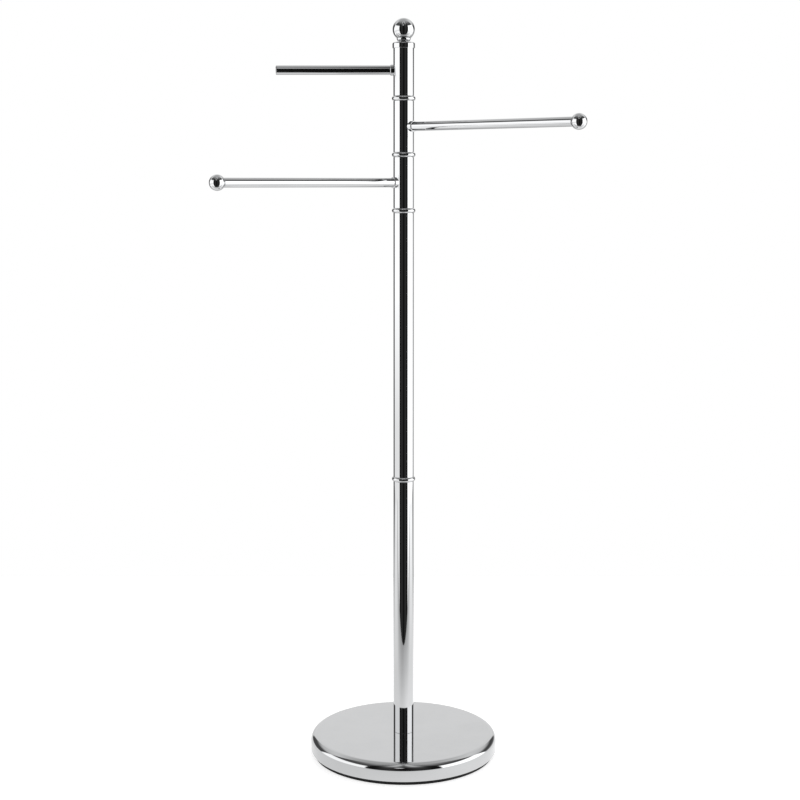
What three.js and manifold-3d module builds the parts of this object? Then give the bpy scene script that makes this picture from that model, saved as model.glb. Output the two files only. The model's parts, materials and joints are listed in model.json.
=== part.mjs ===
// Free-standing towel stand: a weighted round base, a two-piece post and three arms that swivel on a
// spindle at the top of the post. Millimetres, +Z up. The origin is on the floor, on the post's axis.

import * as THREE from 'three';
import { mergeVertices } from 'three/addons/utils/BufferGeometryUtils.js';
import Module from 'manifold-3d';

const wasm = await Module();
wasm.setup();

// ---------------------------------------------------------------- driving dimensions

// Clearance between neighbouring pieces.
const GAP = 0.3;

// Base.
const BASE_RADIUS = 115;
const BASE_HEIGHT = 26;
const BASE_EDGE_RADIUS = 9;
const COVER_WALL = 1.2;
const COVER_LIP_HEIGHT = 4.5;
const COVER_LIP_WIDTH = 2.7;
const COVER_LIP_BEND = 2;
const PAD_THICKNESS = 1.5;
const PAD_INSET = 1;
const PLATE_WEB = 2.2;
const PLATE_RIM_HEIGHT = 4.2;
const PLATE_RIM_WIDTH = 8;
const WEIGHT_RIM_WIDTH = 20;

// Fasteners of the post: the base bolt and the coupling stud share one thread size.
const BOLT_RADIUS = 4;
const BOLT_HEAD_ACROSS_FLATS = 13;
const BOLT_HEAD_HEIGHT = 5.3;
const BOLT_LENGTH = 30;
const BOLT_HEAD_CLEARANCE = 2.7;
const WASHER_RADIUS = 12;
const WASHER_THICKNESS = 1.6;
const SPRING_WASHER_RADIUS = 7.4;
const SPRING_WASHER_THICKNESS = 2;
const SPRING_WASHER_SLOT = 1.2;
const STUD_LENGTH = 36;

// Post.
const TUBE_RADIUS = 12.5;
const TUBE_WALL = 1.2;
const LOWER_TUBE_LENGTH = 315.3;
const UPPER_TUBE_LENGTH = 321.2;
const PLUG_LENGTH = 20;
const RING_HEIGHT = 5.6;
const RING_BULGE = 1.85;

// Spindle, cap and finial.
const SPINDLE_RADIUS = 5;
const SPINDLE_TIP_RADIUS = 3;
const SPINDLE_TIP_LENGTH = 16;
const WAVE_WASHER_INSET = 2;
const WAVE_WASHER_THICKNESS = 0.4;
const CAP_SKIRT_WALL = 0.85;
const CAP_SKIRT_DEPTH = 5.5;
const CAP_WEB = 1.5;
const CAP_EDGE_RADIUS = 2.2;
const FINIAL_RADIUS = 13.4;
const FINIAL_FLAT_RADIUS = 4.2;
const COLLAR_FOOT_RADIUS = 4.4;
const COLLAR_RIM_RADIUS = 8.4;
const COLLAR_SEAT_HEIGHT = 1.6;

// Sleeves and arms.
const SLEEVE_LENGTH = 60.6;
const BUSH_LENGTH = 10;
const ARM_RADIUS = 5.6;
const ARM_WALL = 1;
const ARM_ROOT_STEP = 1;
const ARM_ROOT_STANDOFF = 3.5;
const ARM_ROOT_CHAMFER = 0.8;
const ARM_SPIGOT_LENGTH = 14;
const SCREW_RADIUS = 2;
const SCREW_HEAD_RADIUS = 3.8;
const SCREW_HEAD_HEIGHT = 2.4;
const SCREW_SOCKET_RADIUS = 1.5;
const SCREW_SOCKET_DEPTH = 1.3;
const SCREW_ENGAGEMENT = 8;
const END_BALL_RADIUS = 9.25;
const END_STUD_RADIUS = 2.5;
const END_STUD_REACH = 7;
const END_PLUG_THICKNESS = 1.2;
const LONG_ARM_REACH = 248;
const SHORT_ARM_REACH = 152.5;

// Rest directions of the arms, turned from +X about +Z.
const LEFT_ARM_ANGLE = THREE.MathUtils.degToRad(212.8);
const RIGHT_ARM_ANGLE = THREE.MathUtils.degToRad(-39.3);
const TOP_ARM_ANGLE = THREE.MathUtils.degToRad(180);

// Facets round each turned piece.
const BASE_FACETS = 40;
const POST_FACETS = 28;
const SMALL_FACETS = 20;
const HOLE_FACETS = 10;
const HEXAGON = 6;

// Vertices closer than this are one and the same.
const MERGE_DISTANCE = 1e-4;

// ---------------------------------------------------------------- materials

function metal(name, color, roughness, metalness) {
  return new THREE.MeshStandardMaterial({ name, color, roughness, metalness });
}

const chrome = metal('chrome', 0xdfe2e5, 0.06, 1);
const castIron = metal('cast_iron', 0x3c3d40, 0.75, 0.6);
const steel = metal('zinc_steel', 0xb4b6b8, 0.35, 1);
const blackPlastic = metal('black_plastic', 0x141414, 0.6, 0);
const blackRubber = metal('black_rubber', 0x1a1a1a, 0.9, 0);
const whiteNylon = metal('white_nylon', 0xece9e0, 0.5, 0);

// ---------------------------------------------------------------- shape helpers

function point(radius, height) {
  return new THREE.Vector2(radius, height);
}

// Points on a circle in the profile plane, from one angle to another in degrees.
function arc(centreRadius, centreHeight, radius, fromDegrees, toDegrees, steps) {
  const points = [];
  for (let step = 0; step <= steps; step += 1) {
    const degrees = fromDegrees + ((toDegrees - fromDegrees) * step) / steps;
    const angle = THREE.MathUtils.degToRad(degrees);
    points.push(point(centreRadius + radius * Math.cos(angle), centreHeight + radius * Math.sin(angle)));
  }
  return points;
}

// A solid of revolution about +Z. The profile runs outward along the bottom and back along the top.
function turned(profile, facets) {
  const geometry = new THREE.LatheGeometry(profile, facets);
  geometry.rotateX(Math.PI / 2);
  return geometry;
}

// The same with a bore right through: the profile closes on itself.
function turnedRing(profile, facets) {
  return turned([...profile, profile[0].clone()], facets);
}

function disc(radius, height, facets) {
  return turned([point(0, 0), point(radius, 0), point(radius, height), point(0, height)], facets);
}

function hollowDisc(outerRadius, innerRadius, height, facets) {
  const profile = [
    point(innerRadius, 0),
    point(outerRadius, 0),
    point(outerRadius, height),
    point(innerRadius, height),
  ];
  return turnedRing(profile, facets);
}

// A ball about its own centre, cut flat below at the given depth, with a blind hole up from the flat.
function drilledBall(radius, flatDepth, holeRadius, holeFloor, facets) {
  const start = THREE.MathUtils.radToDeg(Math.asin(flatDepth / radius));
  const lowerHalf = arc(0, 0, radius, -start, 0, facets / 4);
  const upperHalf = arc(0, 0, radius, 0, 90, facets / 4);
  const profile = [
    point(0, holeFloor),
    point(holeRadius, holeFloor),
    point(holeRadius, -flatDepth),
    ...lowerHalf.slice(0, -1),
    ...upperHalf.slice(0, -1),
    point(0, radius),
  ];
  return turned(profile, facets);
}

// Turns a piece made along +Z so that it lies along +X.
function alongX(geometry) {
  return geometry.rotateY(Math.PI / 2);
}

function toSolid(geometry) {
  const bare = geometry.clone();
  bare.deleteAttribute('normal');
  bare.deleteAttribute('uv');
  const merged = mergeVertices(bare, MERGE_DISTANCE);
  const vertProperties = new Float32Array(merged.attributes.position.array);
  const triVerts = new Uint32Array(merged.index.array);
  return new wasm.Manifold(new wasm.Mesh({ numProp: 3, vertProperties, triVerts }));
}

function toGeometry(solid) {
  const mesh = solid.getMesh();
  const geometry = new THREE.BufferGeometry();
  geometry.setAttribute('position', new THREE.BufferAttribute(mesh.vertProperties, 3));
  geometry.setIndex(new THREE.BufferAttribute(mesh.triVerts, 1));
  geometry.computeVertexNormals();
  return geometry;
}

function cut(geometry, ...tools) {
  let solid = toSolid(geometry);
  for (const tool of tools) {
    solid = solid.subtract(toSolid(tool));
  }
  return toGeometry(solid);
}

function join(geometry, other) {
  return toGeometry(toSolid(geometry).add(toSolid(other)));
}

function place(group, name, geometry, material, height = 0) {
  const mesh = new THREE.Mesh(geometry, material);
  mesh.name = name;
  mesh.position.z = height;
  group.add(mesh);
}

// ---------------------------------------------------------------- heights up the stand

const lipInnerRadius = BASE_RADIUS - COVER_LIP_WIDTH;
const underRadius = lipInnerRadius - GAP;
const plateBottom = PAD_THICKNESS + GAP;
const plateTop = plateBottom + PLATE_RIM_HEIGHT;
const coverCeiling = BASE_HEIGHT - COVER_WALL;
const boltHeadBottom = plateBottom + PLATE_WEB + BOLT_HEAD_CLEARANCE;
const springWasherBottom = boltHeadBottom + BOLT_HEAD_HEIGHT + GAP;
const washerBottom = springWasherBottom + SPRING_WASHER_THICKNESS + GAP;
const weightWebBottom = washerBottom + WASHER_THICKNESS + GAP;
const weightTop = coverCeiling - GAP;

const lowerTubeBottom = BASE_HEIGHT + GAP;
const lowerTubeTop = lowerTubeBottom + LOWER_TUBE_LENGTH;
const couplingRingBottom = lowerTubeTop + GAP;
const upperTubeBottom = couplingRingBottom + RING_HEIGHT + GAP;
const upperTubeTop = upperTubeBottom + UPPER_TUBE_LENGTH;
const sleevePitch = RING_HEIGHT + SLEEVE_LENGTH + 2 * GAP;
const firstRingBottom = upperTubeTop + GAP;

function ringBottom(level) {
  return firstRingBottom + level * sleevePitch;
}

function armHeight(level) {
  return ringBottom(level) + RING_HEIGHT + GAP + SLEEVE_LENGTH / 2;
}

const topSleeveEnd = armHeight(2) + SLEEVE_LENGTH / 2;
const waveWasherBottom = topSleeveEnd + GAP;
const spindleShoulder = waveWasherBottom + WAVE_WASHER_THICKNESS;
const capCeiling = spindleShoulder + GAP;
const capTop = capCeiling + CAP_WEB;
const collarBottom = capTop + GAP;

// ---------------------------------------------------------------- base

const boltHoleRadius = BOLT_RADIUS + GAP;

function makeBaseCover() {
  const edgeCentre = BASE_RADIUS - BASE_EDGE_RADIUS;
  const edgeHeight = BASE_HEIGHT - BASE_EDGE_RADIUS;
  const bendCentre = BASE_RADIUS - COVER_LIP_BEND;
  const bendHeight = COVER_LIP_HEIGHT + COVER_LIP_BEND;
  const lipTop = COVER_LIP_HEIGHT + COVER_WALL;
  const profile = [
    point(lipInnerRadius, COVER_LIP_HEIGHT),
    ...arc(bendCentre, bendHeight, COVER_LIP_BEND, -90, 0, 2),
    ...arc(edgeCentre, edgeHeight, BASE_EDGE_RADIUS, 0, 90, 5),
    point(boltHoleRadius, BASE_HEIGHT),
    point(boltHoleRadius, coverCeiling),
    ...arc(edgeCentre, edgeHeight, BASE_EDGE_RADIUS - COVER_WALL, 90, 0, 5),
    ...arc(bendCentre, bendHeight, COVER_LIP_BEND - COVER_WALL, 0, -90, 2),
    point(lipInnerRadius, lipTop),
  ];
  return turnedRing(profile, BASE_FACETS);
}

// A casting that fills the cover down to the bolt's washer, with a rim that goes on down to the plate.
function makeBaseWeight() {
  const outerRadius = underRadius;
  const rimBottom = plateTop + GAP;
  const innerRadius = outerRadius - WEIGHT_RIM_WIDTH;
  const edgeRadius = BASE_EDGE_RADIUS - COVER_WALL - GAP;
  const edgeCentre = outerRadius - edgeRadius;
  const profile = [
    point(boltHoleRadius, weightWebBottom),
    point(innerRadius, weightWebBottom),
    point(innerRadius, rimBottom),
    point(outerRadius, rimBottom),
    ...arc(edgeCentre, weightTop - edgeRadius, edgeRadius, 0, 90, 3),
    point(boltHoleRadius, weightTop),
  ];
  return turnedRing(profile, BASE_FACETS);
}

function makeUnderPlate() {
  const rimInner = underRadius - PLATE_RIM_WIDTH;
  const profile = [
    point(0, 0),
    point(underRadius, 0),
    point(underRadius, PLATE_RIM_HEIGHT),
    point(rimInner, PLATE_RIM_HEIGHT),
    point(rimInner, PLATE_WEB),
    point(0, PLATE_WEB),
  ];
  return turned(profile, BASE_FACETS);
}

function makeBaseBolt() {
  const headRadius = BOLT_HEAD_ACROSS_FLATS / Math.sqrt(3);
  const head = disc(headRadius, BOLT_HEAD_HEIGHT, HEXAGON);
  const shank = disc(BOLT_RADIUS, BOLT_HEAD_HEIGHT + BOLT_LENGTH, SMALL_FACETS);
  return join(head, shank);
}

function makeSpringWasher() {
  const ring = hollowDisc(SPRING_WASHER_RADIUS, boltHoleRadius, SPRING_WASHER_THICKNESS, SMALL_FACETS);
  const slotLength = 2 * SPRING_WASHER_RADIUS;
  const slotDepth = 4 * SPRING_WASHER_THICKNESS;
  const slot = new THREE.BoxGeometry(slotLength, SPRING_WASHER_SLOT, slotDepth);
  slot.translate(slotLength / 2, 0, 0);
  return cut(ring, slot);
}

function addBase(stand) {
  const padRadius = underRadius - PAD_INSET;
  const washer = hollowDisc(WASHER_RADIUS, boltHoleRadius, WASHER_THICKNESS, SMALL_FACETS);
  place(stand, 'floor_pad', disc(padRadius, PAD_THICKNESS, BASE_FACETS), blackRubber);
  place(stand, 'under_plate', makeUnderPlate(), blackPlastic, plateBottom);
  place(stand, 'base_weight', makeBaseWeight(), castIron);
  place(stand, 'base_cover', makeBaseCover(), chrome);
  place(stand, 'base_washer', washer, steel, washerBottom);
  place(stand, 'base_spring_washer', makeSpringWasher(), steel, springWasherBottom);
  place(stand, 'base_bolt', makeBaseBolt(), steel, boltHeadBottom);
}

// ---------------------------------------------------------------- post

// A flat ring whose rim bulges past the post in one round sweep.
function makeRing(boreRadius) {
  const half = RING_HEIGHT / 2;
  const sweep = (half * half + RING_BULGE * RING_BULGE) / (2 * RING_BULGE);
  const centre = TUBE_RADIUS + RING_BULGE - sweep;
  const reach = THREE.MathUtils.radToDeg(Math.asin(half / sweep));
  const limit = RING_BULGE > half ? 180 - reach : reach;
  const profile = [
    point(boreRadius, 0),
    ...arc(centre, half, sweep, -limit, limit, 4),
    point(boreRadius, RING_HEIGHT),
  ];
  return turnedRing(profile, POST_FACETS);
}

function addPost(stand) {
  const boreRadius = TUBE_RADIUS - TUBE_WALL;
  const plug = hollowDisc(boreRadius - GAP, boltHoleRadius, PLUG_LENGTH, SMALL_FACETS);
  const lowerTube = hollowDisc(TUBE_RADIUS, boreRadius, LOWER_TUBE_LENGTH, POST_FACETS);
  const upperTube = hollowDisc(TUBE_RADIUS, boreRadius, UPPER_TUBE_LENGTH, POST_FACETS);
  const studBottom = couplingRingBottom + RING_HEIGHT / 2 - STUD_LENGTH / 2;
  place(stand, 'post_foot_plug', plug, steel, lowerTubeBottom);
  place(stand, 'lower_tube', lowerTube, chrome, lowerTubeBottom);
  place(stand, 'lower_tube_top_plug', plug, steel, lowerTubeTop - PLUG_LENGTH);
  place(stand, 'coupling_ring', makeRing(boltHoleRadius), chrome, couplingRingBottom);
  place(stand, 'coupling_stud', disc(BOLT_RADIUS, STUD_LENGTH, SMALL_FACETS), steel, studBottom);
  place(stand, 'upper_tube_foot_plug', plug, steel, upperTubeBottom);
  place(stand, 'upper_tube', upperTube, chrome, upperTubeBottom);
}

// ---------------------------------------------------------------- spindle, cap and finial

// The spindle is as thick as the bushes need up to its shoulder, and thinner above it.
function makeSpindle(length) {
  const profile = [
    point(0, 0),
    point(SPINDLE_RADIUS, 0),
    point(SPINDLE_RADIUS, length),
    point(SPINDLE_TIP_RADIUS, length),
    point(SPINDLE_TIP_RADIUS, length + SPINDLE_TIP_LENGTH),
    point(0, length + SPINDLE_TIP_LENGTH),
  ];
  return turned(profile, SMALL_FACETS);
}

function makeTopCap() {
  const skirtInner = TUBE_RADIUS + GAP;
  const skirtOuter = skirtInner + CAP_SKIRT_WALL;
  const height = CAP_SKIRT_DEPTH + CAP_WEB;
  const edgeCentre = skirtOuter - CAP_EDGE_RADIUS;
  const profile = [
    point(SPINDLE_TIP_RADIUS + GAP, CAP_SKIRT_DEPTH),
    point(skirtInner, CAP_SKIRT_DEPTH),
    point(skirtInner, 0),
    point(skirtOuter, 0),
    ...arc(edgeCentre, height - CAP_EDGE_RADIUS, CAP_EDGE_RADIUS, 0, 90, 3),
    point(SPINDLE_TIP_RADIUS + GAP, height),
  ];
  return turnedRing(profile, POST_FACETS);
}

// Height of the ball's centre over the collar's foot: the ball sits in the collar's dish.
const dishRadius = FINIAL_RADIUS + GAP;
const tipHoleRadius = SPINDLE_TIP_RADIUS + GAP;
const ballOverCollar = COLLAR_SEAT_HEIGHT + Math.sqrt(dishRadius ** 2 - tipHoleRadius ** 2);
const finialCentre = collarBottom + ballOverCollar;
const finialFlatDepth = Math.sqrt(FINIAL_RADIUS ** 2 - FINIAL_FLAT_RADIUS ** 2);

function makeFinialCollar() {
  const rim = THREE.MathUtils.radToDeg(Math.acos(COLLAR_RIM_RADIUS / dishRadius));
  const hole = THREE.MathUtils.radToDeg(Math.acos(tipHoleRadius / dishRadius));
  const profile = [
    point(tipHoleRadius, 0),
    point(COLLAR_FOOT_RADIUS, 0),
    ...arc(0, ballOverCollar, dishRadius, -rim, -hole, 4),
  ];
  return turnedRing(profile, SMALL_FACETS);
}

function addHead(stand) {
  const boreRadius = TUBE_RADIUS - TUBE_WALL;
  const spindleHole = SPINDLE_RADIUS + GAP;
  const plug = hollowDisc(boreRadius - GAP, spindleHole, PLUG_LENGTH, SMALL_FACETS);
  const plugBottom = upperTubeTop - PLUG_LENGTH;
  const tipEnd = spindleShoulder + SPINDLE_TIP_LENGTH;
  const waveRadius = TUBE_RADIUS - WAVE_WASHER_INSET;
  const waveWasher = hollowDisc(waveRadius, spindleHole, WAVE_WASHER_THICKNESS, SMALL_FACETS);
  const holeFloor = tipEnd + GAP - finialCentre;
  place(stand, 'upper_tube_top_plug', plug, steel, plugBottom);
  place(stand, 'pivot_spindle', makeSpindle(spindleShoulder - plugBottom), steel, plugBottom);
  for (const [level, name] of ['lower', 'middle', 'upper'].entries()) {
    place(stand, `spacer_ring_${name}`, makeRing(spindleHole), chrome, ringBottom(level));
  }
  place(stand, 'wave_washer', waveWasher, steel, waveWasherBottom);
  place(stand, 'top_cap', makeTopCap(), chrome, capCeiling - CAP_SKIRT_DEPTH);
  place(stand, 'finial_collar', makeFinialCollar(), chrome, collarBottom);
  const ball = drilledBall(FINIAL_RADIUS, finialFlatDepth, tipHoleRadius, holeFloor, SMALL_FACETS);
  place(stand, 'finial_ball', ball, chrome, finialCentre);
}

// ---------------------------------------------------------------- arms

// Each arm is made about its own sleeve: the sleeve's centre is the origin and the arm runs along +X.
const sleeveBore = TUBE_RADIUS - TUBE_WALL;
const screwHole = SCREW_RADIUS + GAP;
const rootRadius = ARM_RADIUS + ARM_ROOT_STEP;
const rootFace = TUBE_RADIUS + ARM_ROOT_STANDOFF;
const armTubeStart = rootFace + GAP;
const spigotRadius = ARM_RADIUS - ARM_WALL - GAP;
const screwEnd = rootFace + SCREW_ENGAGEMENT;

function makeSleeve() {
  const tube = hollowDisc(TUBE_RADIUS, sleeveBore, SLEEVE_LENGTH, POST_FACETS);
  tube.translate(0, 0, -SLEEVE_LENGTH / 2);
  const hole = alongX(disc(screwHole, 2 * TUBE_RADIUS, HOLE_FACETS));
  return cut(tube, hole);
}

// A collar whose inner face is hollowed to fit round the sleeve, with a spigot for the arm tube.
function makeArmRoot() {
  const profile = [
    point(screwHole, 0),
    point(rootRadius, 0),
    point(rootRadius, rootFace - ARM_ROOT_CHAMFER),
    point(rootRadius - ARM_ROOT_CHAMFER, rootFace),
    point(spigotRadius, rootFace),
    point(spigotRadius, rootFace + ARM_SPIGOT_LENGTH),
    point(0, rootFace + ARM_SPIGOT_LENGTH),
    point(0, screwEnd + GAP),
    point(screwHole, screwEnd + GAP),
    point(screwHole, 0),
  ];
  const root = alongX(turned(profile, SMALL_FACETS));
  const saddleHeight = 4 * rootRadius;
  const saddle = disc(TUBE_RADIUS + GAP, saddleHeight, POST_FACETS);
  saddle.translate(0, 0, -saddleHeight / 2);
  return cut(root, saddle);
}

// The head's rim just clears the sleeve's round inner wall.
function makeArmScrew() {
  const seat = Math.sqrt((sleeveBore - GAP) ** 2 - SCREW_HEAD_RADIUS ** 2);
  const headBack = seat - SCREW_HEAD_HEIGHT;
  const head = alongX(disc(SCREW_HEAD_RADIUS, SCREW_HEAD_HEIGHT, SMALL_FACETS));
  head.translate(headBack, 0, 0);
  const shankStart = seat - SCREW_HEAD_HEIGHT / 2;
  const shank = alongX(disc(SCREW_RADIUS, screwEnd - shankStart, HOLE_FACETS));
  shank.translate(shankStart, 0, 0);
  const socket = alongX(disc(SCREW_SOCKET_RADIUS, 2 * SCREW_SOCKET_DEPTH, HEXAGON));
  socket.translate(headBack - SCREW_SOCKET_DEPTH, 0, 0);
  return cut(join(head, shank), socket);
}

function makeArmTube(length) {
  const tube = alongX(hollowDisc(ARM_RADIUS, ARM_RADIUS - ARM_WALL, length, SMALL_FACETS));
  return tube.translate(armTubeStart, 0, 0);
}

// A long arm ends where its ball's skin is as wide as the tube.
function addBallEnd(arm, name) {
  const seat = Math.sqrt(END_BALL_RADIUS ** 2 - ARM_RADIUS ** 2);
  const tubeEnd = LONG_ARM_REACH - seat - GAP;
  const insertStart = tubeEnd - ARM_SPIGOT_LENGTH;
  const studEnd = LONG_ARM_REACH - END_BALL_RADIUS + END_STUD_REACH;
  const insertProfile = [
    point(0, insertStart),
    point(spigotRadius, insertStart),
    point(spigotRadius, tubeEnd),
    point(END_STUD_RADIUS, tubeEnd),
    point(END_STUD_RADIUS, studEnd),
    point(0, studEnd),
  ];
  const hole = END_STUD_RADIUS + GAP;
  const holeFloor = studEnd + GAP - LONG_ARM_REACH;
  const ball = drilledBall(END_BALL_RADIUS, seat, hole, holeFloor, SMALL_FACETS);
  place(arm, `${name}_arm_tube`, makeArmTube(tubeEnd - armTubeStart), chrome);
  place(arm, `${name}_end_insert`, alongX(turned(insertProfile, SMALL_FACETS)), steel);
  place(arm, `${name}_end_ball`, alongX(ball).translate(LONG_ARM_REACH, 0, 0), chrome);
}

function addPlugEnd(arm, name) {
  const plugFace = SHORT_ARM_REACH - END_PLUG_THICKNESS;
  const tubeEnd = plugFace - GAP;
  const profile = [
    point(0, tubeEnd - ARM_SPIGOT_LENGTH),
    point(spigotRadius, tubeEnd - ARM_SPIGOT_LENGTH),
    point(spigotRadius, plugFace),
    point(ARM_RADIUS, plugFace),
    point(ARM_RADIUS, SHORT_ARM_REACH),
    point(0, SHORT_ARM_REACH),
  ];
  place(arm, `${name}_arm_tube`, makeArmTube(tubeEnd - armTubeStart), chrome);
  place(arm, `${name}_end_plug`, alongX(turned(profile, SMALL_FACETS)), chrome);
}

function makeArm(name, level, angle, addEnd) {
  const arm = new THREE.Group();
  arm.position.z = armHeight(level);
  arm.rotation.z = angle;
  const bush = hollowDisc(sleeveBore - GAP, SPINDLE_RADIUS + GAP, BUSH_LENGTH, SMALL_FACETS);
  place(arm, `${name}_sleeve`, makeSleeve(), chrome);
  place(arm, `${name}_lower_bush`, bush, whiteNylon, -SLEEVE_LENGTH / 2);
  place(arm, `${name}_upper_bush`, bush, whiteNylon, SLEEVE_LENGTH / 2 - BUSH_LENGTH);
  place(arm, `${name}_arm_root`, makeArmRoot(), chrome);
  place(arm, `${name}_arm_screw`, makeArmScrew(), steel);
  addEnd(arm, name);
  return arm;
}

// ---------------------------------------------------------------- the whole stand

const towelStand = new THREE.Group();
addBase(towelStand);
addPost(towelStand);
addHead(towelStand);
towelStand.add(makeArm('left', 0, LEFT_ARM_ANGLE, addBallEnd));
towelStand.add(makeArm('right', 1, RIGHT_ARM_ANGLE, addBallEnd));
towelStand.add(makeArm('top', 2, TOP_ARM_ANGLE, addPlugEnd));

export default towelStand;
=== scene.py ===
"""The looks of a free-standing towel stand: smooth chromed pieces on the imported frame, and a photo studio."""

import json
import math

import bmesh
import bpy
from mathutils import Matrix, Vector


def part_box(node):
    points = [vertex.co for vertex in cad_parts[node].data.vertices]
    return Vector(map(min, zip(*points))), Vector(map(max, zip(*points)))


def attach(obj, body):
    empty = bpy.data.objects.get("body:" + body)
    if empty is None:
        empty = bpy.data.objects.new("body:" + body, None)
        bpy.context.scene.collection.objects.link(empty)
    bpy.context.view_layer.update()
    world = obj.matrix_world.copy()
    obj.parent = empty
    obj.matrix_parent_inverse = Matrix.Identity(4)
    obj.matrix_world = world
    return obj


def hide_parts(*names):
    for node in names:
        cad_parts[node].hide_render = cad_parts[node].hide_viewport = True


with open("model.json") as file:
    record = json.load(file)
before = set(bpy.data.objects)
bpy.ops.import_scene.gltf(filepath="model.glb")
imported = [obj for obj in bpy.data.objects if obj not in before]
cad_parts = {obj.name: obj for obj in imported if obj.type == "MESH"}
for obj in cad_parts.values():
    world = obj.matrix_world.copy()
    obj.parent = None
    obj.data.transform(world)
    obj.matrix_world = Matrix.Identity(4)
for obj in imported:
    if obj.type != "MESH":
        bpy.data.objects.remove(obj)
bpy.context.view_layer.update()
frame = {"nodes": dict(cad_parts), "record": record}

MM = 0.001

# ---------------------------------------------------------------- sizes that the frame doesn't give

SEAM = 0.06 * MM               # what is left of the gap between two fixed pieces
SWIVEL_SEAM = 0.14 * MM        # the same between a sleeve and the ring that it turns on
MICRO_EDGE = 0.25 * MM         # broken edge on turned and cut pieces

COVER_EDGE = 9 * MM            # rolled edge round the top of the base
COVER_WALL = 1.2 * MM
COVER_BEND = 2 * MM            # bend above the turned-in lip
PLATE_RIM = 8 * MM
PLATE_WEB = 2.2 * MM
PAD_EDGE = 0.5 * MM

CAP_EDGE = 2.2 * MM
CAP_WEB = 1.5 * MM
COLLAR_LIP = 0.5 * MM          # thickness of the collar's rim
COLLAR_FOOT = 4.4 * MM         # radius of the collar's foot
COLLAR_FOOT_HEIGHT = 0.3 * MM

HOLE_BAND = 1.5                # half the height of the drilled band of a sleeve, in hole radii
ROOT_EDGE = 0.9 * MM
PLUG_EDGE = 0.45 * MM

# Segments round a piece, by its size.
BASE_SEGMENTS = 288
POST_SEGMENTS = 144
SMALL_SEGMENTS = 96

# Steps along an arc, by how large it shows.
MICRO_STEPS = 4
FILLET_STEPS = 6
CAP_STEPS = 8
DISH_STEPS = 12
COVER_STEPS = 16
FLARE_STEPS = 16
RING_STEPS = 24
END_BALL_STEPS = 80
FINIAL_STEPS = 96

# ---------------------------------------------------------------- reading the frame

UP = Vector((0, 0, 1))
ORIGIN = Vector((0, 0, 0))
ON_AXIS = 0.1 * MM             # nearer than this to an axis or a plane is on it


class Turned:
    """The sizes of a turned CAD node about an axis: its ends, bore, outer radius and blind hole's floor."""

    def __init__(self, node, origin=ORIGIN, direction=UP):
        heights = []
        radii = []
        poles = []
        for vertex in frame["nodes"][node].data.vertices:
            offset = vertex.co - origin
            height = offset.dot(direction)
            radius = (offset - direction * height).length
            heights.append(height)
            if radius > ON_AXIS:
                radii.append(radius)
            else:
                poles.append(height)
        self.start = min(heights)
        self.end = max(heights)
        self.bore = min(radii)
        self.radius = max(radii)
        self.hole_floor = min(poles, default=self.end)


CAD_GAP = Turned("lower_tube").start - Turned("base_cover").end

# ---------------------------------------------------------------- profiles


def arc(centre_r, centre_z, radius, start, end, steps):
    """Points on a circle in the profile plane, angles in degrees."""
    points = []
    for step in range(steps + 1):
        angle = math.radians(start + (end - start) * step / steps)
        points.append((centre_r + radius * math.cos(angle), centre_z + radius * math.sin(angle)))
    return points


def rounded(corners, steps=FILLET_STEPS):
    """A profile from (radius, height, fillet) corners, each fillet an arc that meets both of its sides."""
    points = []
    for index, (r, z, fillet) in enumerate(corners):
        if fillet == 0:
            points.append((r, z))
            continue
        here = Vector((r, z))
        before = (Vector(corners[index - 1][:2]) - here).normalized()
        after = (Vector(corners[(index + 1) % len(corners)][:2]) - here).normalized()
        half = before.angle(after) / 2
        reach = fillet / math.tan(half)
        centre = here + (before + after).normalized() * (fillet / math.sin(half))
        first = here + before * reach - centre
        last = here + after * reach - centre
        turn = first.angle_signed(last)
        for step in range(steps + 1):
            spoke = first.copy()
            spoke.rotate(Matrix.Rotation(-turn * step / steps, 2))
            points.append(tuple(centre + spoke))
    return points


# ---------------------------------------------------------------- mesh building

SHARP_TURN = math.radians(28)  # faces that turn by more than this meet in a sharp edge
POLE = 1e-7                    # a profile point nearer to the axis is a single vertex


def revolve(name, profile, segments, closed=True):
    """A solid of revolution about +Z, smooth except where its profile turns sharply."""
    mesh = bmesh.new()
    rings = []
    for r, z in profile:
        if r < POLE:
            rings.append([mesh.verts.new((0, 0, z))])
            continue
        ring = []
        for step in range(segments):
            angle = 2 * math.pi * step / segments
            ring.append(mesh.verts.new((r * math.cos(angle), r * math.sin(angle), z)))
        rings.append(ring)
    bands = list(zip(rings, rings[1:]))
    if closed:
        bands.append((rings[-1], rings[0]))
    for lower, upper in bands:
        if len(lower) == len(upper) == 1:
            continue
        for step in range(segments):
            following = (step + 1) % segments
            corners = [lower[step % len(lower)], lower[following % len(lower)]]
            corners += [upper[following % len(upper)], upper[step % len(upper)]]
            mesh.faces.new(dict.fromkeys(corners))
    bmesh.ops.recalc_face_normals(mesh, faces=mesh.faces)
    mark_sharp_edges(mesh)
    return make_object(name, mesh)


def mark_sharp_edges(mesh):
    """Shades a mesh smooth except across its sharp edges."""
    for face in mesh.faces:
        face.smooth = True
    for edge in mesh.edges:
        edge.smooth = edge.calc_face_angle() < SHARP_TURN


def make_object(name, mesh):
    """Puts a finished bmesh into the scene as an object, and frees it."""
    mesh_data = bpy.data.meshes.new(name)
    mesh.to_mesh(mesh_data)
    mesh.free()
    piece = bpy.data.objects.new(name, mesh_data)
    bpy.context.scene.collection.objects.link(piece)
    return piece


LARGEST_FACE_WINS = 100


def keep_flats_flat(piece):
    """Large faces decide the normals that they share, so that a mirror stays flat right up to its fillet."""
    modifier = piece.modifiers.new("weighted_normals", "WEIGHTED_NORMAL")
    modifier.mode = "FACE_AREA"
    modifier.weight = LARGEST_FACE_WINS
    modifier.keep_sharp = True


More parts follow.
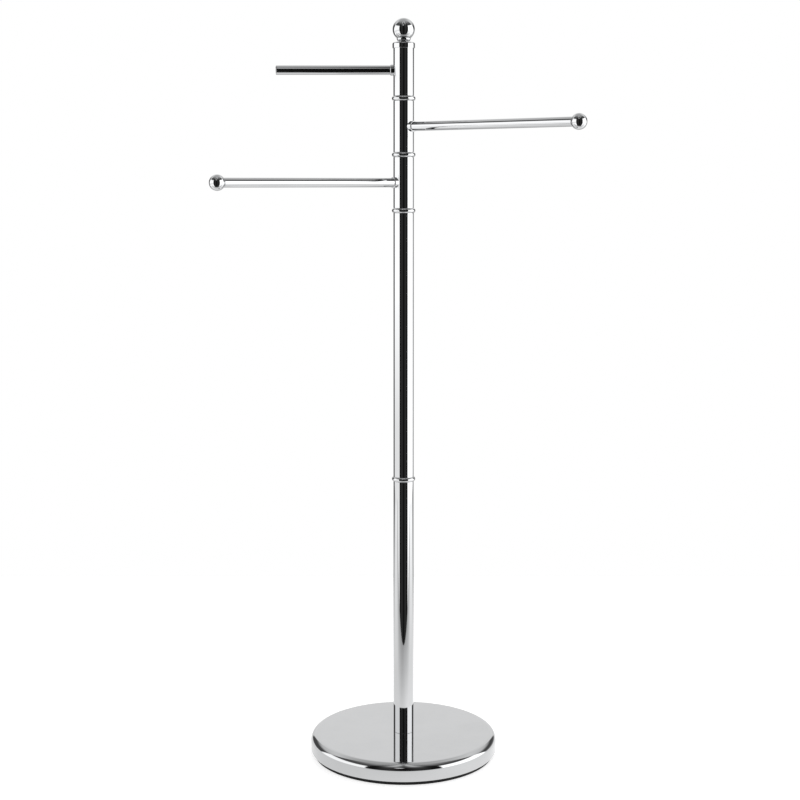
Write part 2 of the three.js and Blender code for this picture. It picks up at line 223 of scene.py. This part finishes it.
def drill(piece, cutter):
    """Cuts one piece out of another, with a sharp rim, and throws the cutter away."""
    modifier = piece.modifiers.new("drilled", "BOOLEAN")
    modifier.operation = "DIFFERENCE"
    modifier.solver = "EXACT"
    modifier.object = cutter
    graph = bpy.context.evaluated_depsgraph_get()
    cut_mesh = bpy.data.meshes.new_from_object(piece.evaluated_get(graph))
    piece.modifiers.remove(modifier)
    mesh = bmesh.new()
    mesh.from_mesh(cut_mesh)
    mark_sharp_edges(mesh)
    mesh.to_mesh(cut_mesh)
    mesh.free()
    piece.data = cut_mesh
    bpy.data.objects.remove(cutter)


def lay_along(piece, origin, direction):
    """Turns a mesh made about +Z so that its +Z becomes the arm's direction, from the post's axis outward."""
    side = UP.cross(direction)
    turn = Matrix((side, UP, direction)).transposed().to_4x4()
    piece.data.transform(Matrix.Translation(origin) @ turn)
    return piece


def stand_for(piece, node, body, slot, material=None):
    """Finishes a piece that takes the place of one CAD node, in its slot's material or one made for it."""
    keep_flats_flat(piece)
    piece.data.materials.append(material or SLOT_MATERIALS[slot])
    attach(piece, body)
    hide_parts(node)


# ---------------------------------------------------------------- materials

# The colour sockets of a Mix node.
MIX_A = 6
MIX_B = 7
MIX_RESULT = 2

EVEN = Vector((1, 1, 1))
ALONG_X = Vector((1, 0, 0))
BLACK = (0, 0, 0, 1)
WHITE = (1, 1, 1, 1)
ANYWHERE = 0.5                 # a new ramp stop's place, before it gets its own


def grey(level):
    return (level, level, level, 1)


class Graph:
    """Short calls for building a node tree."""

    def __init__(self, owner):
        owner.use_nodes = True
        self.nodes = owner.node_tree.nodes
        self.links = owner.node_tree.links

    def feed(self, socket, value):
        if isinstance(value, bpy.types.NodeSocket):
            self.links.new(value, socket)
        else:
            socket.default_value = value

    def math(self, operation, first, second=0.0):
        node = self.nodes.new("ShaderNodeMath")
        node.operation = operation
        self.feed(node.inputs[0], first)
        self.feed(node.inputs[1], second)
        return node.outputs["Value"]

    def scaled_sum(self, value, factor, added):
        """A value times a factor, plus another value."""
        node = self.nodes.new("ShaderNodeMath")
        node.operation = "MULTIPLY_ADD"
        for socket, term in zip(node.inputs, (value, factor, added)):
            self.feed(socket, term)
        return node.outputs["Value"]

    def choose(self, factor, first, second):
        """The first shader where the factor is 0, the second where it is 1."""
        node = self.nodes.new("ShaderNodeMixShader")
        for socket, source in zip(node.inputs, (factor, first, second)):
            self.links.new(source, socket)
        return node.outputs["Shader"]

    def spread(self, value, from_low, from_high, to_low=0.0, to_high=1.0):
        """A smooth step from one value to another."""
        node = self.nodes.new("ShaderNodeMapRange")
        node.interpolation_type = "SMOOTHSTEP"
        self.feed(node.inputs["Value"], value)
        self.feed(node.inputs["From Min"], from_low)
        self.feed(node.inputs["From Max"], from_high)
        self.feed(node.inputs["To Min"], to_low)
        self.feed(node.inputs["To Max"], to_high)
        return node.outputs["Result"]

    def blend(self, factor, first, second):
        node = self.nodes.new("ShaderNodeMix")
        node.data_type = "RGBA"
        node.clamp_factor = False
        self.feed(node.inputs[0], factor)
        self.feed(node.inputs[MIX_A], first)
        self.feed(node.inputs[MIX_B], second)
        return node.outputs[MIX_RESULT]

    def ramp(self, value, stops):
        """A grey level that follows (position, level) stops."""
        node = self.nodes.new("ShaderNodeValToRGB")
        self.feed(node.inputs["Fac"], value)
        elements = node.color_ramp.elements
        while len(elements) < len(stops):
            elements.new(ANYWHERE)
        for element, (position, level) in zip(elements, stops):
            element.position = position
            element.color = grey(level)
        return node.outputs["Color"]

    def coordinates(self, kind):
        return self.nodes.new("ShaderNodeTexCoord").outputs[kind]

    def seen_by_camera(self):
        return self.nodes.new("ShaderNodeLightPath").outputs["Is Camera Ray"]

    def noise(self, scale, detail=3.0, roughness=0.5, stretch=(1, 1, 1), turn=0.0):
        """Noise over the object's own place, drawn out by a factor along each axis, after a turn about +Z."""
        mapping = self.nodes.new("ShaderNodeMapping")
        mapping.vector_type = "TEXTURE"
        self.feed(mapping.inputs["Vector"], self.coordinates("Object"))
        self.feed(mapping.inputs["Rotation"], (0, 0, turn))
        self.feed(mapping.inputs["Scale"], stretch)
        texture = self.nodes.new("ShaderNodeTexNoise")
        self.feed(texture.inputs["Vector"], mapping.outputs["Vector"])
        self.feed(texture.inputs["Scale"], scale)
        self.feed(texture.inputs["Detail"], detail)
        self.feed(texture.inputs["Roughness"], roughness)
        return texture.outputs["Fac"]


class Surface(Graph):
    """A Principled material and the nodes that vary it."""

    def __init__(self, name):
        self.material = bpy.data.materials.new(name)
        super().__init__(self.material)
        self.inputs = self.nodes["Principled BSDF"].inputs

    def bump(self, height, depth):
        node = self.nodes.new("ShaderNodeBump")
        self.feed(node.inputs["Height"], height)
        self.feed(node.inputs["Distance"], depth)
        self.feed(self.inputs["Normal"], node.outputs["Normal"])


CHROME_CLEAR = Vector((0.600, 0.605, 0.612))
CHROME_HAZED = Vector((0.579, 0.584, 0.591))
MARK_STRETCH = 7               # how much longer than wide the wiping marks are, less one
SCRATCH_STRETCH = 49           # the same for the hairline scratches


def make_chrome(name, lengthwise=UP, turn=0.0, shade=1.0, polish=0.025):
    """Bright chrome plate: a mirror with faint haze, wiping marks along the metal and hairline scratches. A
    shade below 1 darkens its colour: painted shade.
    """
    surface = Surface(name)
    surface.inputs["Metallic"].default_value = 1
    haze = surface.spread(surface.noise(22, detail=4), 0.35, 0.75)
    long_marks = EVEN + lengthwise * MARK_STRETCH
    long_scratches = EVEN + lengthwise * SCRATCH_STRETCH
    wiped = surface.noise(60, detail=5, roughness=0.65, stretch=long_marks, turn=turn)
    wiping_marks = surface.spread(wiped, 0.45, 0.8)
    scratched = surface.noise(900, detail=2, stretch=long_scratches, turn=turn)
    hairlines = surface.spread(scratched, 0.62, 0.78)
    roughness = surface.scaled_sum(haze, 0.022, polish)
    roughness = surface.scaled_sum(wiping_marks, 0.02, roughness)
    roughness = surface.scaled_sum(hairlines, 0.03, roughness)
    surface.feed(surface.inputs["Roughness"], roughness)
    clear = (*(CHROME_CLEAR * shade), 1)
    hazed = (*(CHROME_HAZED * shade), 1)
    tone = surface.blend(haze, clear, hazed)
    surface.feed(surface.inputs["Base Color"], tone)
    surface.bump(surface.noise(35, detail=2), 0.004 * MM)
    return surface.material


def make_black_plastic():
    """Moulded plastic with a fine spark-eroded texture and a little dust."""
    surface = Surface("black_plastic")
    grain = surface.noise(2600, detail=2)
    dust = surface.spread(surface.noise(90, detail=4), 0.5, 0.8)
    tone = surface.blend(dust, (0.008, 0.008, 0.009, 1), (0.016, 0.016, 0.016, 1))
    surface.feed(surface.inputs["Base Color"], tone)
    surface.feed(surface.inputs["Roughness"], surface.spread(grain, 0.3, 0.7, 0.5, 0.68))
    surface.inputs["Specular IOR Level"].default_value = 0.15
    surface.bump(grain, 0.05 * MM)
    return surface.material


def make_black_rubber():
    """Foam rubber with a matt, pitted skin that is scuffed grey in places."""
    surface = Surface("black_rubber")
    grain = surface.noise(1500, detail=4, roughness=0.7)
    scuffs = surface.spread(surface.noise(40, detail=5), 0.5, 0.75)
    tone = surface.blend(scuffs, (0.012, 0.012, 0.012, 1), (0.026, 0.025, 0.024, 1))
    surface.feed(surface.inputs["Base Color"], tone)
    surface.inputs["Specular IOR Level"].default_value = 0.1
    surface.feed(surface.inputs["Roughness"], surface.spread(grain, 0.3, 0.7, 0.75, 0.95))
    surface.bump(grain, 0.12 * MM)
    return surface.material


def make_zinc_steel():
    """Turned steel with zinc plate: fine tool marks round the axis under a slightly cloudy tone."""
    surface = Surface("zinc_steel")
    surface.inputs["Metallic"].default_value = 1
    tool_marks = surface.noise(700, detail=2, stretch=(20, 20, 1))
    cloud = surface.spread(surface.noise(70, detail=4), 0.35, 0.7)
    tone = surface.blend(cloud, (0.64, 0.65, 0.66, 1), (0.52, 0.53, 0.56, 1))
    surface.feed(surface.inputs["Base Color"], tone)
    surface.feed(surface.inputs["Roughness"], surface.spread(cloud, 0, 1, 0.24, 0.42))
    surface.bump(tool_marks, 0.03 * MM)
    return surface.material


def make_cast_iron():
    """A sand casting with traces of rust."""
    surface = Surface("cast_iron")
    surface.inputs["Metallic"].default_value = 0.5
    sand = surface.noise(900, detail=5, roughness=0.7)
    rust = surface.spread(surface.noise(55, detail=5), 0.55, 0.75)
    tone = surface.blend(rust, (0.065, 0.065, 0.070, 1), (0.120, 0.075, 0.050, 1))
    surface.feed(surface.inputs["Base Color"], tone)
    surface.feed(surface.inputs["Roughness"], surface.spread(sand, 0.3, 0.7, 0.6, 0.85))
    surface.bump(sand, 0.3 * MM)
    return surface.material


def make_white_nylon():
    """Turned natural nylon, waxy and slightly uneven in tone."""
    surface = Surface("white_nylon")
    cloud = surface.noise(120)
    tool_marks = surface.noise(800, detail=2, stretch=(20, 20, 1))
    tone = surface.blend(cloud, (0.84, 0.82, 0.77, 1), (0.78, 0.76, 0.69, 1))
    surface.feed(surface.inputs["Base Color"], tone)
    surface.feed(surface.inputs["Roughness"], surface.spread(cloud, 0.3, 0.7, 0.38, 0.5))
    surface.bump(tool_marks, 0.04 * MM)
    return surface.material


SLOT_MATERIALS = {
    "chrome": make_chrome("chrome"),
    "zinc_steel": make_zinc_steel(),
    "cast_iron": make_cast_iron(),
    "black_plastic": make_black_plastic(),
    "black_rubber": make_black_rubber(),
    "white_nylon": make_white_nylon(),
}

# ---------------------------------------------------------------- base


def make_base_cover():
    """A pressed cover: flat top, rolled edge, plain side and a lip turned in under the rim."""
    cover = Turned("base_cover")
    lip = Turned("under_plate").radius + CAD_GAP
    inside = cover.radius - COVER_WALL
    ceiling = cover.end - COVER_WALL
    corners = [
        (cover.bore, cover.end, MICRO_EDGE),
        (cover.radius, cover.end, COVER_EDGE),
        (cover.radius, cover.start, COVER_BEND),
        (lip, cover.start, MICRO_EDGE),
        (lip, cover.start + COVER_WALL, MICRO_EDGE),
        (inside, cover.start + COVER_WALL, COVER_BEND - COVER_WALL),
        (inside, ceiling, COVER_EDGE - COVER_WALL),
        (cover.bore, ceiling, MICRO_EDGE),
    ]
    piece = revolve("base_cover_shell", rounded(corners, COVER_STEPS), BASE_SEGMENTS)
    # painted shade: the cover's chrome is a copy of the others darkened to 0.92, so that its reflections show
    # dimmer
    darkened_chrome = make_chrome("base_chrome_shaded", lengthwise=ALONG_X, shade=0.92, polish=0.04)
    stand_for(piece, "base_cover", "stand", "chrome", darkened_chrome)


def make_under_plate():
    """A shallow plastic tray that closes the base. Its edge shows as a dark line under the cover."""
    plate = Turned("under_plate")
    low = Turned("floor_pad").end + SEAM
    inside = plate.radius - PLATE_RIM
    corners = [
        (0, low, 0),
        (plate.radius, low, 2 * MICRO_EDGE),
        (plate.radius, plate.end, MICRO_EDGE),
        (inside, plate.end, MICRO_EDGE),
        (inside, plate.start + PLATE_WEB, MICRO_EDGE),
        (0, plate.start + PLATE_WEB, 0),
    ]
    piece = revolve("under_plate_moulding", rounded(corners), BASE_SEGMENTS, closed=False)
    stand_for(piece, "under_plate", "stand", "black_plastic")


def make_floor_pad():
    """The rubber disc that the stand rests on."""
    pad = Turned("floor_pad")
    corners = [
        (0, pad.start, 0),
        (pad.radius, pad.start, PAD_EDGE),
        (pad.radius, pad.end, PAD_EDGE),
        (0, pad.end, 0),
    ]
    piece = revolve("floor_pad_disc", rounded(corners), BASE_SEGMENTS, closed=False)
    stand_for(piece, "floor_pad", "stand", "black_rubber")


# ---------------------------------------------------------------- post


def tube_profile(bore, radius, start, end):
    """A tube cut square, its four edges broken."""
    corners = [
        (bore, start, MICRO_EDGE),
        (radius, start, MICRO_EDGE),
        (radius, end, MICRO_EDGE),
        (bore, end, MICRO_EDGE),
    ]
    return rounded(corners, MICRO_STEPS)


def make_post_tube(node):
    """A tube drawn up to the pieces at both of its ends."""
    tube = Turned(node)
    reach = CAD_GAP - SEAM
    profile = tube_profile(tube.bore, tube.radius, tube.start - reach, tube.end + reach)
    piece = revolve(f"{node}_drawn", profile, POST_SEGMENTS)
    stand_for(piece, node, "stand", "chrome")


def make_ring(node):
    """A half-round ring, its rim one sweep that bulges past the post."""
    ring = Turned(node)
    half = (ring.end - ring.start) / 2
    bulge = ring.radius - Turned("lower_tube").radius
    sweep = (half**2 + bulge**2) / (2 * bulge)
    limit = math.degrees(math.asin(half / sweep))
    profile = [(ring.bore, ring.start)]
    profile += arc(ring.radius - sweep, ring.start + half, sweep, -limit, limit, RING_STEPS)
    profile.append((ring.bore, ring.end))
    piece = revolve(f"{node}_turned", profile, POST_SEGMENTS)
    stand_for(piece, node, "stand", "chrome")


# ---------------------------------------------------------------- cap and finial


def make_top_cap():
    """A pressed cap whose skirt hides the top of the highest sleeve."""
    cap = Turned("top_cap")
    skirt = Turned("top_sleeve").radius + CAD_GAP
    ceiling = cap.end - CAP_WEB
    corners = [
        (cap.bore, cap.end, MICRO_EDGE),
        (cap.radius, cap.end, CAP_EDGE),
        (cap.radius, cap.start, MICRO_EDGE),
        (skirt, cap.start, MICRO_EDGE),
        (skirt, ceiling, 2 * MICRO_EDGE),
        (cap.bore, ceiling, MICRO_EDGE),
    ]
    piece = revolve("top_cap_pressed", rounded(corners, CAP_STEPS), POST_SEGMENTS)
    stand_for(piece, "top_cap", "stand", "chrome")


def ball_profile(ball, steps):
    """A ball with a flat on its starting side and a blind hole up from that flat."""
    centre = ball.end - ball.radius
    flat = math.degrees(math.asin((centre - ball.start) / ball.radius))
    profile = [(0, ball.hole_floor), (ball.bore, ball.hole_floor), (ball.bore, ball.start)]
    return profile + arc(0, centre, ball.radius, -flat, 90, steps)


def make_finial_ball():
    ball = Turned("finial_ball")
    profile = ball_profile(ball, FINIAL_STEPS)
    piece = revolve("finial_ball_polished", profile, POST_SEGMENTS, closed=False)
    stand_for(piece, "finial_ball", "stand", "chrome")


def make_finial_collar():
    """A dished collar: a bowl that swells from a slim foot to a thin rim close under the ball."""
    collar = Turned("finial_collar")
    ball = Turned("finial_ball")
    centre = ball.end - ball.radius
    dish = ball.radius + SEAM
    low = Turned("top_cap").end + SEAM
    foot_top = low + COLLAR_FOOT_HEIGHT
    flare_top = centre - math.sqrt(dish**2 - collar.radius**2) - COLLAR_LIP
    flare_width = collar.radius - COLLAR_FOOT
    flare = []
    for step in range(FLARE_STEPS + 1):
        angle = math.pi / 2 * step / FLARE_STEPS
        r = COLLAR_FOOT + flare_width * math.sin(angle)
        flare.append((r, foot_top + (flare_top - foot_top) * (1 - math.cos(angle))))
    rim = math.degrees(math.acos(collar.radius / dish))
    hole = math.degrees(math.acos(collar.bore / dish))
    profile = [(collar.bore, low), (COLLAR_FOOT, low)] + flare
    profile += arc(0, centre, dish, -rim, -hole, DISH_STEPS)
    piece = revolve("finial_collar_turned", profile, POST_SEGMENTS)
    stand_for(piece, "finial_collar", "stand", "chrome")


# ---------------------------------------------------------------- arms


class Arm:
    """One swivel arm: its frame comes from the CAD arm tube, whose box is centred on the arm's axis."""

    def __init__(self, name):
        self.name = name
        self.body = f"{name}_arm"
        low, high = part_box(f"{name}_arm_tube")
        middle = (low + high) / 2
        self.origin = Vector((0, 0, middle.z))
        self.direction = (middle - self.origin).normalized()
        turn = math.atan2(self.direction.y, self.direction.x)
        self.chrome = make_chrome(f"{name}_arm_chrome", ALONG_X, turn)
        self.sleeve = Turned(f"{name}_sleeve")
        self.root = self.turned("arm_root")
        self.tube = self.turned("arm_tube")

    def turned(self, part):
        return Turned(f"{self.name}_{part}", self.origin, self.direction)

    def add(self, part, finish, profile, closed=True, shape=None):
        """Adds a piece of the arm. A shape function may change its mesh while it is still about +Z."""
        piece = revolve(f"{self.name}_{part}_{finish}", profile, SMALL_SEGMENTS, closed)
        if shape:
            shape(piece.data.vertices)
        lay_along(piece, self.origin, self.direction)
        stand_for(piece, f"{self.name}_{part}", self.body, "chrome", self.chrome)


def make_sleeve(arm):
    """The swivel sleeve, with a hole for the screw that holds the arm's root."""
    reach = CAD_GAP - SWIVEL_SEAM
    low = arm.sleeve.start - reach
    high = arm.sleeve.end + reach
    bore = Turned("lower_tube").bore
    radius = arm.sleeve.radius
    hole = arm.root.bore
    under_root = arm.origin.z - HOLE_BAND * hole
    over_root = arm.origin.z + HOLE_BAND * hole
    corners = [
        (bore, low, MICRO_EDGE),
        (radius, low, MICRO_EDGE),
        (radius, under_root, 0),
        (radius, over_root, 0),
        (radius, high, MICRO_EDGE),
        (bore, high, MICRO_EDGE),
        (bore, over_root, 0),
        (bore, under_root, 0),
    ]
    piece = revolve(f"{arm.name}_sleeve_drawn", rounded(corners, MICRO_STEPS), POST_SEGMENTS)
    cutter_profile = [(0, 0), (hole, 0), (hole, arm.root.end), (0, arm.root.end)]
    cutter = revolve("screw_hole", cutter_profile, SMALL_SEGMENTS, closed=False)
    drill(piece, lay_along(cutter, arm.origin, arm.direction))
    stand_for(piece, f"{arm.name}_sleeve", arm.body, "chrome")


def make_arm_root(arm):
    """The turned collar between sleeve and arm. Its inner face is saddled to the sleeve."""
    face = arm.tube.start - CAD_GAP
    spigot = arm.tube.bore - CAD_GAP
    corners = [
        (arm.root.bore, 0, 0),
        (arm.root.radius, 0, 0),
        (arm.root.radius, face, ROOT_EDGE),
        (spigot, face, 0),
        (spigot, arm.root.end, MICRO_EDGE),
        (0, arm.root.end, 0),
        (0, arm.root.hole_floor, 0),
        (arm.root.bore, arm.root.hole_floor, 0),
    ]
    saddle = arm.sleeve.radius + SEAM

    def fit_to_sleeve(vertices):
        for vertex in vertices:
            if abs(vertex.co.z) < ON_AXIS:
                vertex.co.z = math.sqrt(saddle**2 - vertex.co.x**2)

    arm.add("arm_root", "turned", rounded(corners, CAP_STEPS), shape=fit_to_sleeve)


def make_arm_tube(arm):
    reach = CAD_GAP - SEAM
    start = arm.tube.start - reach
    end = arm.tube.end + reach
    arm.add("arm_tube", "drawn", tube_profile(arm.tube.bore, arm.tube.radius, start, end))


def make_end_ball(arm):
    ball = arm.turned("end_ball")
    arm.add("end_ball", "polished", ball_profile(ball, END_BALL_STEPS), closed=False)


def make_end_plug(arm):
    """A flat plug with a spigot in the arm tube."""
    plug = arm.turned("end_plug")
    spigot = arm.tube.bore - CAD_GAP
    face = arm.tube.end + CAD_GAP
    corners = [
        (0, plug.start, 0),
        (spigot, plug.start, MICRO_EDGE),
        (spigot, face, 0),
        (plug.radius, face, MICRO_EDGE),
        (plug.radius, plug.end, PLUG_EDGE),
        (0, plug.end, 0),
    ]
    arm.add("end_plug", "turned", rounded(corners), closed=False)


def make_arm(name, make_end):
    arm = Arm(name)
    make_sleeve(arm)
    make_arm_root(arm)
    make_arm_tube(arm)
    make_end(arm)


# ---------------------------------------------------------------- the whole stand

make_base_cover()
make_under_plate()
make_floor_pad()
make_post_tube("lower_tube")
make_post_tube("upper_tube")
for ring_node in ("coupling_ring", "spacer_ring_lower", "spacer_ring_middle", "spacer_ring_upper"):
    make_ring(ring_node)
make_top_cap()
make_finial_collar()
make_finial_ball()
make_arm("left", make_end_ball)
make_arm("right", make_end_ball)
make_arm("top", make_end_plug)

# The pieces inside keep their CAD shape and get a material of their own.
for part in frame["record"]["subparts"]:
    node_object = frame["nodes"][part["node"]]
    node_object.data.materials.clear()
    node_object.data.materials.append(SLOT_MATERIALS[part["material_slot"]])

# ---------------------------------------------------------------- studio

BRIGHTEST = 2.4                # the brightest that a panel may be, where the backdrop is 1
SOFTBOX_FRONT = math.radians(46.5)   # angles round the post from the front, the same on both sides
SOFTBOX_BACK = math.radians(117)
SOFTBOX_LEAN = math.radians(21)      # how much of its back edge a softbox loses towards the zenith
SCREEN_EDGE = math.radians(154)
BLUR = math.radians(2)         # half the width of a panel's soft edge
FRONT_FOLDS = 9                # dark folds round the whole horizon
FOLD_DEPTH = 0.8
FOLD_LEVEL = 1.2
LAMP_DIRECTION = Vector((-0.08, -0.77, 0.63))   # a small lamp over the camera
LAMP_WIDTH = math.radians(5.5)
LAMP_LEVEL = 0.45

# Brightness of each panel at its elevations, in (degrees, level) pairs.
CEILING = [(48, 0.11), (57, 0.24), (65, 0.38), (77, 0.48), (90, 0.55)]
FRONT = [(-90, 0.02), (5, 0.02), (22, 0.025), (33, 0.03), (41, 0.05)]
LEFT_BOX = [
    (-90, 1.7), (-22, 1.7), (-15, 1.25), (-9, 1.25),
    (-4, 1.7), (12, 1.7), (26, 1.6), (30, 0.12),
]
RIGHT_BOX = [(-90, 1.7), (-20, 1.7), (-15, 1.5), (-10, 2.2), (5, 2.2), (29, 2.1), (34, 0.10)]
LEFT_CORNER = [
    (-90, 0.6), (-24, 0.3), (-18, 0.08), (20, 0.10),
    (30, 0.75), (45, 0.95), (60, 0.6), (90, 0.55),
]
RIGHT_CORNER = [
    (-90, 0.7), (-20, 0.5), (0, 0.45), (7, 0.1),
    (20, 0.10), (30, 0.8), (45, 1.0), (90, 0.55),
]
SCREEN = [(-90, 0.6), (-15, 0.75), (6, 0.92), (13, 1.02), (38, 1.0), (50, 0.65), (90, 0.55)]


def by_height(graph, height, levels):
    """Brightness over elevation, as a share of the brightest. The height is the sine of the elevation."""
    stops = []
    for degrees, level in levels:
        stops.append(((math.sin(math.radians(degrees)) + 1) / 2, level / BRIGHTEST))
    return graph.ramp(graph.scaled_sum(height, 0.5, 0.5), stops)


def add_panels(sky):
    """The dark front, a softbox on each side, dark corners behind them and a pale screen at the back."""
    split = sky.nodes.new("ShaderNodeSeparateXYZ")
    sky.feed(split.inputs["Vector"], sky.coordinates("Generated"))
    across, away, height = split.outputs
    turn = sky.math("ARCTAN2", across, sky.math("MULTIPLY", away, -1.0))
    turned_by = sky.math("ABSOLUTE", turn)
    leaned = sky.scaled_sum(height, SOFTBOX_LEAN, turned_by)

    on_right = sky.spread(turn, -BLUR, BLUR)
    past_front = sky.spread(turned_by, SOFTBOX_FRONT - BLUR, SOFTBOX_FRONT + BLUR)
    past_boxes = sky.spread(leaned, SOFTBOX_BACK - BLUR, SOFTBOX_BACK + BLUR)
    on_screen = sky.spread(turned_by, SCREEN_EDGE - BLUR, SCREEN_EDGE + BLUR)

    waves = sky.math("COSINE", sky.math("MULTIPLY", turn, FRONT_FOLDS))
    folds = sky.scaled_sum(waves, -FOLD_DEPTH, FOLD_LEVEL)
    left_box = by_height(sky, height, LEFT_BOX + CEILING)
    right_box = by_height(sky, height, RIGHT_BOX + CEILING)
    left_corner = by_height(sky, height, LEFT_CORNER)
    right_corner = by_height(sky, height, RIGHT_CORNER)
    level = sky.blend(folds, BLACK, by_height(sky, height, FRONT + CEILING))
    level = sky.blend(past_front, level, sky.blend(on_right, left_box, right_box))
    level = sky.blend(past_boxes, level, sky.blend(on_right, left_corner, right_corner))
    return sky.blend(on_screen, level, by_height(sky, height, SCREEN))


def add_lamp(sky, level):
    """A small round lamp over the panels."""
    aim = sky.nodes.new("ShaderNodeVectorMath")
    aim.operation = "DOT_PRODUCT"
    sky.feed(aim.inputs[0], sky.coordinates("Generated"))
    sky.feed(aim.inputs[1], LAMP_DIRECTION)
    rim_low = math.cos(LAMP_WIDTH + BLUR)
    rim_high = math.cos(LAMP_WIDTH - BLUR)
    on_lamp = sky.spread(aim.outputs["Value"], rim_low, rim_high)
    return sky.blend(on_lamp, level, grey(LAMP_LEVEL))


def make_sky():
    """A studio all round: the chrome mirrors its panels, and the camera sees a white backdrop."""
    world = bpy.data.worlds.new("studio")
    bpy.context.scene.world = world
    sky = Graph(world)
    sky.nodes.clear()
    mirrored = sky.nodes.new("ShaderNodeBackground")
    sky.feed(mirrored.inputs["Color"], add_lamp(sky, add_panels(sky)))
    sky.feed(mirrored.inputs["Strength"], BRIGHTEST)
    backdrop = sky.nodes.new("ShaderNodeBackground")
    sky.feed(backdrop.inputs["Color"], WHITE)
    out = sky.nodes.new("ShaderNodeOutputWorld")
    surroundings = sky.choose(sky.seen_by_camera(), mirrored.outputs[0], backdrop.outputs[0])
    sky.feed(out.inputs["Surface"], surroundings)


# The paper's edges, from the post's axis.
FLOOR_FRONT = -0.466
FLOOR_BACK = 0.85
FLOOR_SIDE = 1.5
FLOOR_GAP = 0.1 * MM           # keeps the paper off the face that stands on it
PAPER_TONE = 0.8
PAPER_ROUGHNESS = 0.9
PAPER_GLOW = 0.7

# Brightness of the mirrored paper, in (metres, level) pairs, across it and away from the camera.
PAPER_ACROSS = [
    (-1.4, 1.4), (-0.7, 1.15), (-0.35, 1.0), (-0.1, 1.0),
    (0.1, 1.2), (0.4, 1.1), (0.7, 1.25), (1.3, 1.7),
]
PAPER_AWAY = [
    (-0.46, 0.5), (-0.37, 0.62), (-0.28, 0.75), (-0.19, 0.9),
    (-0.13, 1.0), (0.3, 1.0), (0.8, 0.3),
]


def by_place(graph, place, low, high, levels):
    """Brightness over a place between two edges, as a share of the brightest."""
    stops = []
    for metres, level in levels:
        stops.append(((metres - low) / (high - low), level / BRIGHTEST))
    share = graph.nodes.new("ShaderNodeMapRange")
    graph.feed(share.inputs["Value"], place)
    graph.feed(share.inputs["From Min"], low)
    graph.feed(share.inputs["From Max"], high)
    return graph.ramp(share.outputs["Result"], stops)


def make_paper():
    """White paper: the camera sees it burnt out but for the stand's faint shadow, the chrome sees it graded.

    It is clear from below, so that it doesn't hide the underside.
    """
    paper = Surface("floor_paper")
    paper.inputs["Base Color"].default_value = grey(PAPER_TONE)
    paper.inputs["Roughness"].default_value = PAPER_ROUGHNESS
    paper.inputs["Specular IOR Level"].default_value = 0
    paper.inputs["Emission Color"].default_value = WHITE
    paper.inputs["Emission Strength"].default_value = PAPER_GLOW
    burnt_out = paper.nodes["Principled BSDF"].outputs["BSDF"]

    split = paper.nodes.new("ShaderNodeSeparateXYZ")
    paper.feed(split.inputs["Vector"], paper.coordinates("Object"))
    across, away, _ = split.outputs
    from_side = by_place(paper, across, -FLOOR_SIDE, FLOOR_SIDE, PAPER_ACROSS)
    from_depth = by_place(paper, away, FLOOR_FRONT, FLOOR_BACK, PAPER_AWAY)
    graded = paper.nodes.new("ShaderNodeEmission")
    paper.feed(graded.inputs["Color"], paper.math("MULTIPLY", from_side, from_depth))
    paper.feed(graded.inputs["Strength"], BRIGHTEST**2)   # both factors are shares of the brightest

    from_above = paper.choose(paper.seen_by_camera(), graded.outputs["Emission"], burnt_out)
    clear = paper.nodes.new("ShaderNodeBsdfTransparent")
    under_side = paper.nodes.new("ShaderNodeNewGeometry").outputs["Backfacing"]
    both_sides = paper.choose(under_side, from_above, clear.outputs["BSDF"])
    paper.feed(paper.nodes["Material Output"].inputs["Surface"], both_sides)
    return paper.material


def make_floor():
    """One flat sheet of paper under the stand, which ends behind it and before the camera."""
    mesh_data = bpy.data.meshes.new("floor")
    corners = [
        (-FLOOR_SIDE, FLOOR_FRONT, -FLOOR_GAP),
        (FLOOR_SIDE, FLOOR_FRONT, -FLOOR_GAP),
        (FLOOR_SIDE, FLOOR_BACK, -FLOOR_GAP),
        (-FLOOR_SIDE, FLOOR_BACK, -FLOOR_GAP),
    ]
    mesh_data.from_pydata(corners, [], [range(4)])
    mesh_data.materials.append(make_paper())
    floor = bpy.data.objects.new("floor", mesh_data)
    bpy.context.scene.collection.objects.link(floor)


make_sky()
make_floor()
bpy.context.scene.view_settings.view_transform = "Standard"

# ---------------------------------------------------------------- camera

CAMERA_PLACE = (-0.0044, -1.864, 0.705)
CAMERA_PITCH = math.radians(5.81)    # how far the camera looks down
CAMERA_LENS = 69.4             # millimetres, on Blender's own sensor width
CAMERA_SHIFT = -0.075          # in image widths

camera_data = bpy.data.cameras.new("camera")
camera_data.lens = CAMERA_LENS
camera_data.shift_y = CAMERA_SHIFT
camera = bpy.data.objects.new("camera", camera_data)
camera.location = CAMERA_PLACE
camera.rotation_euler = (math.pi / 2 - CAMERA_PITCH, 0, 0)
bpy.context.scene.collection.objects.link(camera)
bpy.context.scene.camera = camera
